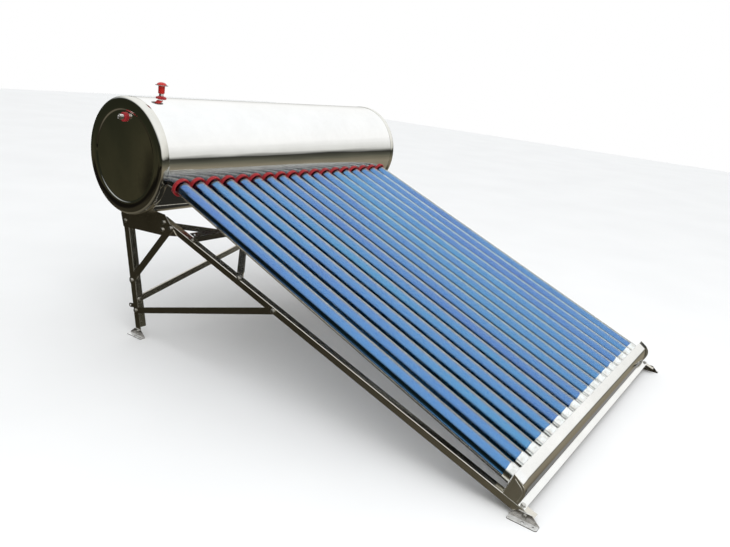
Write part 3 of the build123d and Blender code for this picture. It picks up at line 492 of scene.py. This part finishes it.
def build_vent():
    """Vent pipe, red cone seal, and the loose cap with its thin disc."""
    axis = Vector((0, -sin(VENT_LEAN), cos(VENT_LEAN)))
    place = stand(TANK_CENTRE + Vector((VENT_X, 0, 0)), axis)
    top = CAP_RADIUS
    pipe = [(0.0070, 0.164), (0.0085, 0.164), (0.0085, 0.2568), (0.0081, 0.2579),
            (0.0074, 0.2579), (0.0070, 0.2570)]
    seal = [(0.00855, top - 0.0045), (0.0203, top - 0.0050), (0.0205, top - 0.0004)]
    seal += arc((0.0190, top + 0.0016), 0.0015, 0, 75, 5)
    seal += [(0.0150, top + 0.0045), (0.0115, top + 0.0062), (0.0102, top + 0.0070), (0.00855, top + 0.0068)]
    body = [(0.0090, top + 0.0162), (0.0100, top + 0.0160)]
    body += arc((0.0104, top + 0.0180), 0.0019, -75, -5, 5)
    body += [(0.0124, top + 0.0220), (0.0128, top + 0.0466), (0.0128, top + 0.0480)]
    body += [(0.0192, top + 0.0496), (0.0190, top + 0.0508)]
    body += [(0.0172, top + 0.0538), (0.0140, top + 0.0566), (0.0098, top + 0.0586), (0.0050, top + 0.0597),
             (0, top + 0.0600), (0, top + 0.0304), (0.0090, top + 0.0304)]
    disc = [(0.0126, top + 0.0468), (0.0236, top + 0.0470), (0.0247, top + 0.0475), (0.0250, top + 0.0482),
            (0.0247, top + 0.0489), (0.0236, top + 0.0493), (0.0126, top + 0.0496)]
    for name, profile, finish, replaced, slot, body_name in (
            ("vent_stub", pipe, pipe_steel, "vent_pipe", "pipe_steel", "heater"),
            ("vent_cone_seal", seal, red_rubber, "vent_seal", "red_rubber", "heater"),
            ("vent_cap_body", body, red_plastic, "vent_cap", "red_plastic", "vent_cap"),
            ("vent_cap_disc", disc, grey_plastic, "vent_cap", None, "vent_cap")):
        bm = bmesh.new()
        lathe(bm, profile, place, 64)
        piece(name, bm, finish, [replaced], body_name)


# ---------------------------------------------------------------- tubes
def dome(radius, centre, tip, steps):
    """Profile points of a round end, from the equator to the tip radius."""
    return arc((0, centre), radius, 0, degrees(acos(tip / radius)), steps)


def build_tubes():
    """Outer glass of every tube, its silvered end, and the coated inner glass."""
    centre = TUBE_END - 2 * TIP_RADIUS - TUBE_RADIUS
    outer = [(TUBE_RADIUS, TUBE_MOUTH)] + dome(TUBE_RADIUS, centre, TIP_RADIUS, 12)
    outer += [(0.0032, centre + TUBE_RADIUS + 0.0022), (0.0026, TUBE_END - 0.0012),
              (0.0014, TUBE_END), (0, TUBE_END)]
    bore = TUBE_RADIUS - TUBE_WALL
    inner = arc((0, centre), bore, 90, 0, 12)
    inner.append((bore, TUBE_MOUTH))
    film_radius = bore - 0.0002
    film_outer = [(film_radius, COATING_END)] + arc((0, centre), film_radius, 0, 90, 10)
    film_inner = arc((0, centre), film_radius - FILM_SKIN, 90, 0, 10)
    film_inner.append((film_radius - FILM_SKIN, COATING_END))
    low = ABSORBER_END - ABSORBER_RADIUS
    inner_glass = [(ABSORBER_RADIUS, TUBE_MOUTH + 0.004)] + arc((0, low), ABSORBER_RADIUS, 0, 90, 10)
    inner_glass += arc((0, low), ABSORBER_RADIUS - TUBE_WALL, 90, 0, 8)
    inner_glass += [(ABSORBER_RADIUS - TUBE_WALL, TUBE_MOUTH), (bore - 0.0001, TUBE_MOUTH),
                    (bore - 0.0001, TUBE_MOUTH + 0.004)]
    absorbers = bmesh.new()
    films = bmesh.new()
    for number, place in enumerate(tube_places(), start=1):
        bm = bmesh.new()
        lathe(bm, outer + inner, place, 56)
        piece(f"glass_tube_{number:02d}", bm, glass, [f"vacuum_tube_{number:02d}"])
        lathe(absorbers, inner_glass, place, 48)

        def edge(ring, turn, seed=number):
            ragged = 0.0012 * sin(2 * turn + seed) + 0.0006 * sin(5 * turn + 2.3 * seed)
            return ragged if ring in (0, len(film_outer) + len(film_inner) - 1) else 0.0

        lathe(films, film_outer + film_inner, place, 48, edge)
    piece("coated_inner_tubes", absorbers, coating, ["absorber_tubes"])
    piece("getter_films", films, film, ())


def build_rings():
    """Red dust rings round the tubes where they enter the jacket."""
    crown = SHELL_RADIUS
    ring = [(0.02905, crown - 0.012), (0.0380, crown - 0.010), (0.0380, crown + 0.0030)]
    ring += arc((0.0350, crown + 0.0050), 0.0030, 0, 100, 6)
    ring += [(0.0322, crown + 0.0072), (0.0305, crown + 0.0050), (0.02905, crown + 0.0042)]
    bm = bmesh.new()
    for place in tube_places():
        lathe(bm, ring, place, 56)
    piece("tube_dust_rings", bm, red_rubber, ["dust_rings"])


def build_cups():
    """White cups that hold the tube ends in the tray."""
    rim = CUP_RIM
    inside = [(0.0294, rim), (0.0294, rim + 0.012), (0.0270, rim + 0.024), (0.0200, rim + 0.037),
              (0.009, rim + 0.043)]
    outside = [(0.0103, rim + 0.0443), (0.0213, rim + 0.0383), (0.0283, rim + 0.0253), (0.0307, rim + 0.0133),
               (0.0307, rim + 0.0006), (0.0303, rim)]
    bm = bmesh.new()
    for place in tube_places():
        lathe(bm, inside + outside, place, 48)
    piece("tube_end_cups", bm, white_plastic, ["tail_cups"])


# ---------------------------------------------------------------- tail tray
def rail_point(x, along, off):
    """A place given across X, up the rail and off the rail."""
    return FRONT_PIVOT + Vector((x, 0, 0)) + along * UP_RAIL + off * OFF_RAIL


def tray_skin():
    """Tray section without its back wall: under the front, up the bowed face, over the crown."""
    crown = three_point_arc((TRAY_BACK, TRAY_TOP), (TRAY_BACK - 0.017, TRAY_LOW + 0.0717), CREASE, 12)
    front = three_point_arc(CREASE, TRAY_BOW, (TRAY_FRONT, TRAY_LOW), 16)
    bend = three_point_arc(crown[-2], (CREASE[0] + 0.0006, CREASE[1] - 0.0004), front[1], 8)
    lip = [(TRAY_BACK, TRAY_LOW)]
    return (crown[:-2] + bend + front[2:] + lip)[::-1]


def inward(point, facing, inset):
    """A section point moved into the tray, square to a wall facing this many degrees above the front."""
    return (point[0] + inset * cos(radians(facing)), point[1] - inset * sin(radians(facing)))


def plate_outline(inset):
    """End plate's outline drawn in by an inset, rounder in front than the tray itself."""
    back = TRAY_BACK - inset
    brow = inward((CREASE[0], TRAY_LOW + 0.0645), 58, inset)
    nose = inward((TRAY_FRONT - 0.003, TRAY_LOW + 0.033), 12, inset)
    crown = inward((TRAY_BACK - 0.017, TRAY_LOW + 0.0714), 70, inset)
    cheek = inward((TRAY_FRONT + 0.0036, TRAY_LOW + 0.0525), 37, inset)
    jaw = inward((TRAY_FRONT - 0.0028, TRAY_LOW + 0.016), -5, inset)
    top = three_point_arc((back, TRAY_TOP - 1.2 * inset), crown, brow, 8)
    bulge = three_point_arc(brow, cheek, nose, 10)
    chin = three_point_arc(nose, jaw, (TRAY_FRONT + 0.8 * inset, TRAY_LOW + inset), 6)
    return [(back, TRAY_LOW + inset)] + top + bulge[1:] + chin[1:]


def build_tray():
    """Folded tray: bent skin and a back wall with one hole for each tube."""
    bm = bmesh.new()
    end = SIDE - TRAY_PLATE
    skin = tray_skin()
    cuts = [-end + 2 * end * n / 36 for n in range(37)]
    rows = [[bm.verts.new(rail_point(x, *point)) for x in cuts] for point in skin]
    for lower, upper in zip(rows, rows[1:]):
        for n in range(len(cuts) - 1):
            bm.faces.new((lower[n], lower[n + 1], upper[n + 1], upper[n]))
    # where a tube's axis meets the back wall, off the rail
    run = (TRAY_BACK - (TUBE_START - FRONT_PIVOT).dot(UP_RAIL)) / DOWN_TUBE.dot(UP_RAIL)
    centre_off = (TUBE_START + run * DOWN_TUBE - FRONT_PIVOT).dot(OFF_RAIL)
    edges = [-end] + [(n - TUBE_COUNT / 2) * TUBE_PITCH for n in range(1, TUBE_COUNT)] + [end]
    for number, (left, right) in enumerate(zip(edges, edges[1:])):
        x = (number - (TUBE_COUNT - 1) / 2) * TUBE_PITCH
        wall_cell(bm, x, centre_off, left, right)
    bmesh.ops.remove_doubles(bm, verts=bm.verts, dist=1e-5)
    obj = piece("tail_tray_body", bm, tray_steel, ["tail_tray"], sharp=35)
    solid = obj.modifiers.new("sheet", "SOLIDIFY")
    solid.thickness = TRAY_SHEET
    solid.offset = -1


def wall_cell(bm, x, off, left, right, steps=48):
    """One cell of the back wall: a rectangle from left to right with a round hole at (x, off)."""
    inner, outer = [], []
    low, top, hole = TRAY_LOW, TRAY_TOP, TRAY_HOLE
    corners = [(left, low), (right, low), (right, top), (left, top)]
    turns = [2 * pi * n / steps for n in range(steps)]
    for turn in turns:
        dx, dy = cos(turn), sin(turn)
        reach = min((right - x) / dx if dx > 1e-9 else (left - x) / dx if dx < -1e-9 else 9,
                    (top - off) / dy if dy > 1e-9 else (low - off) / dy if dy < -1e-9 else 9)
        inner.append(bm.verts.new(rail_point(x + hole * dx, TRAY_BACK, off + hole * dy)))
        outer.append((x + reach * dx, off + reach * dy))
    rim = [bm.verts.new(rail_point(px, TRAY_BACK, pq)) for px, pq in outer]
    for n in range(steps):
        after = (n + 1) % steps
        loop = [inner[n], inner[after], rim[after], rim[n]]
        for cx, cy in corners:
            a, b = outer[n], outer[after]
            between = min(a[0], b[0]) - 1e-6 <= cx <= max(a[0], b[0]) + 1e-6
            between = between and min(a[1], b[1]) - 1e-6 <= cy <= max(a[1], b[1]) + 1e-6
            on_two_sides = abs(a[0] - b[0]) > 1e-6 and abs(a[1] - b[1]) > 1e-6
            if between and on_two_sides:
                corner = bm.verts.new(rail_point(cx, TRAY_BACK, cy))
                loop = [inner[n], inner[after], rim[after], corner, rim[n]]
        bm.faces.new(loop)


def build_tray_ends():
    """End plates: a rim with rounded edges round a raised panel, as (inset, rise) steps."""
    steps = [(0.0, -TRAY_PLATE), (0.0, -0.0004), (0.0004, 0.0), (0.0009, 0.0), (0.0070, 0.0), (0.0074, 0.0),
             (0.0078, 0.0002), (0.0084, 0.0012), (0.0088, 0.0014), (0.0094, 0.0014), (0.0110, 0.0014)]
    for hand, side in (("left", -1), ("right", 1)):
        bm = bmesh.new()
        loops = []
        for inset, rise in steps:
            loops.append([bm.verts.new(rail_point(side * (SIDE + rise), *p)) for p in plate_outline(inset)])
        for low, high in zip(loops, loops[1:]):
            for n in range(len(low)):
                after = (n + 1) % len(low)
                bm.faces.new((low[n], low[after], high[after], high[n]))
        bm.faces.new(loops[0])
        bm.faces.new(loops[-1])
        piece(f"tray_end_plate_{hand}", bm, plate_steel, [f"tail_tray_end_{hand}"], sharp=30)


build_jacket()
build_caps()
build_ports()
build_vent()
build_tubes()
build_rings()
build_cups()
build_tray()
build_tray_ends()


# ---------------------------------------------------------------- studio
def build_floor():
    """Pale studio floor; polished metal mirrors the surroundings instead of it."""
    bm = bmesh.new()
    bmesh.ops.create_grid(bm, x_segments=24, y_segments=24, size=FLOOR_HALF)
    mesh = bpy.data.meshes.new("studio_floor")
    bm.to_mesh(mesh)
    bm.free()
    floor = bpy.data.objects.new("studio_floor", mesh)
    bpy.context.scene.collection.objects.link(floor)
    made = Nodes("floor_paint")
    paint = made.ramp(made.noise(1.5, 3), [(0.3, (0.90, 0.90, 0.90)), (0.7, (0.93, 0.93, 0.93))])
    made.link(paint, "Base Color")
    made.set(Roughness=0.85)
    floor.data.materials.append(made.material)
    floor.visible_glossy = False
    floor.visible_transmission = False


def build_world():
    """Soft white sky over ground for reflections, plain white behind the object.

    To the rear left the ground is dark and rises well above the horizon: the end cap, the frame and
    the left side of each tube reflect it. To the front right, where the tank reflects it, it is lighter.
    """
    world = bpy.data.worlds.new("studio")
    bpy.context.scene.world = world
    world.use_nodes = True
    tree = world.node_tree
    tree.nodes.clear()

    def add(kind, **values):
        node = tree.nodes.new(kind)
        for name, value in values.items():
            setattr(node, name, value)
        return node

    def ramp(factor, stops):
        node = add("ShaderNodeValToRGB")
        while len(node.color_ramp.elements) < len(stops):
            node.color_ramp.elements.new(0.5)
        for element, (z, colour) in zip(node.color_ramp.elements, stops):
            element.position = (z + 1) / 2
            element.color = (*colour, 1)
        tree.links.new(factor, node.inputs["Fac"])
        return node.outputs["Color"]

    # height of the direction seen, made ragged so the bands have soft edges; -1 is straight down
    coords = add("ShaderNodeTexCoord").outputs["Generated"]
    split = add("ShaderNodeSeparateXYZ")
    tree.links.new(coords, split.inputs[0])
    ragged = add("ShaderNodeTexNoise")
    ragged.inputs["Scale"].default_value = 15
    ragged.inputs["Detail"].default_value = 4
    tree.links.new(coords, ragged.inputs["Vector"])
    shift = add("ShaderNodeMath", operation="MULTIPLY_ADD")
    shift.inputs[1].default_value = 0.12
    tree.links.new(ragged.outputs["Fac"], shift.inputs[0])
    tree.links.new(split.outputs["Z"], shift.inputs[2])
    height = add("ShaderNodeMapRange")
    height.inputs["From Min"].default_value = -0.94
    height.inputs["From Max"].default_value = 1.06
    tree.links.new(shift.outputs[0], height.inputs["Value"])
    front = ramp(height.outputs["Result"], [
        (-1.00, (0.020, 0.019, 0.015)), (-0.60, (0.022, 0.021, 0.018)), (-0.45, (0.23, 0.20, 0.145)),
        (-0.28, (0.27, 0.24, 0.175)), (-0.12, (0.10, 0.10, 0.075)), (-0.01, (0.03, 0.03, 0.025)),
        (0.03, (0.30, 0.30, 0.28)), (0.09, (0.72, 0.72, 0.69)), (0.35, (1.05, 1.05, 1.04)),
        (1.00, (1.10, 1.13, 1.16))])
    rear = ramp(height.outputs["Result"], [
        (-1.00, (0.10, 0.09, 0.07)), (-0.60, (0.15, 0.135, 0.10)), (-0.48, (0.075, 0.068, 0.050)),
        (-0.38, (0.026, 0.023, 0.015)), (-0.235, (0.036, 0.031, 0.020)), (-0.215, (0.007, 0.006, 0.005)),
        (-0.175, (0.008, 0.007, 0.005)), (-0.155, (0.048, 0.044, 0.025)), (-0.115, (0.022, 0.024, 0.014)),
        (-0.01, (0.019, 0.020, 0.012)), (0.26, (0.026, 0.028, 0.020)), (0.40, (0.50, 0.52, 0.53)),
        (0.60, (1.05, 1.05, 1.04)), (1.00, (1.10, 1.13, 1.16))])
    # how far the direction seen is turned from the rear left to the front right
    side = add("ShaderNodeVectorMath", operation="DOT_PRODUCT")
    side.inputs[1].default_value = (0.83, -0.55, 0.0)
    tree.links.new(coords, side.inputs[0])
    turn = add("ShaderNodeMapRange")
    turn.inputs["From Min"].default_value = -0.45
    turn.inputs["From Max"].default_value = 0.0
    tree.links.new(side.outputs["Value"], turn.inputs["Value"])
    around = add("ShaderNodeMix", data_type="RGBA")
    colours = [s for s in around.inputs if s.type == "RGBA"]
    tree.links.new(turn.outputs["Result"], around.inputs["Factor"])
    tree.links.new(rear, colours[0])
    tree.links.new(front, colours[1])
    surroundings = add("ShaderNodeBackground")
    tree.links.new([s for s in around.outputs if s.type == "RGBA"][0], surroundings.inputs["Color"])
    # the camera itself sees plain white
    backdrop = add("ShaderNodeBackground")
    backdrop.inputs["Color"].default_value = (1, 1, 1, 1)
    rays = add("ShaderNodeLightPath")
    mix = add("ShaderNodeMixShader")
    out = add("ShaderNodeOutputWorld")
    tree.links.new(rays.outputs["Is Camera Ray"], mix.inputs["Fac"])
    tree.links.new(surroundings.outputs[0], mix.inputs[1])
    tree.links.new(backdrop.outputs[0], mix.inputs[2])
    tree.links.new(mix.outputs[0], out.inputs["Surface"])


def build_lights():
    """One large soft light from above the camera's left."""
    data = bpy.data.lights.new("softbox", "AREA")
    data.shape = "RECTANGLE"
    data.size, data.size_y = 3.0, 3.0
    data.energy = 60
    lamp = bpy.data.objects.new("softbox", data)
    lamp.location = (-2.5, -2.5, 4.0)
    lamp.rotation_euler = (Vector((0, 0, 0.5)) - Vector(lamp.location)).to_track_quat("-Z", "Y").to_euler()
    bpy.context.scene.collection.objects.link(lamp)
    lamp.visible_glossy = False
    lamp.visible_transmission = False


def build_camera():
    """Camera on the left in front of the heater, a little above the tank."""
    data = bpy.data.cameras.new("camera")
    data.sensor_width = 36
    data.lens = 32.465
    camera = bpy.data.objects.new("camera", data)
    camera.location = (-2.3630, -1.4327, 1.1569)
    camera.rotation_euler = (radians(73.235), radians(-6.172), radians(-54.408))
    bpy.context.scene.collection.objects.link(camera)
    bpy.context.scene.camera = camera


build_floor()
build_world()
build_lights()
build_camera()
bpy.context.scene.view_settings.view_transform = "Standard"
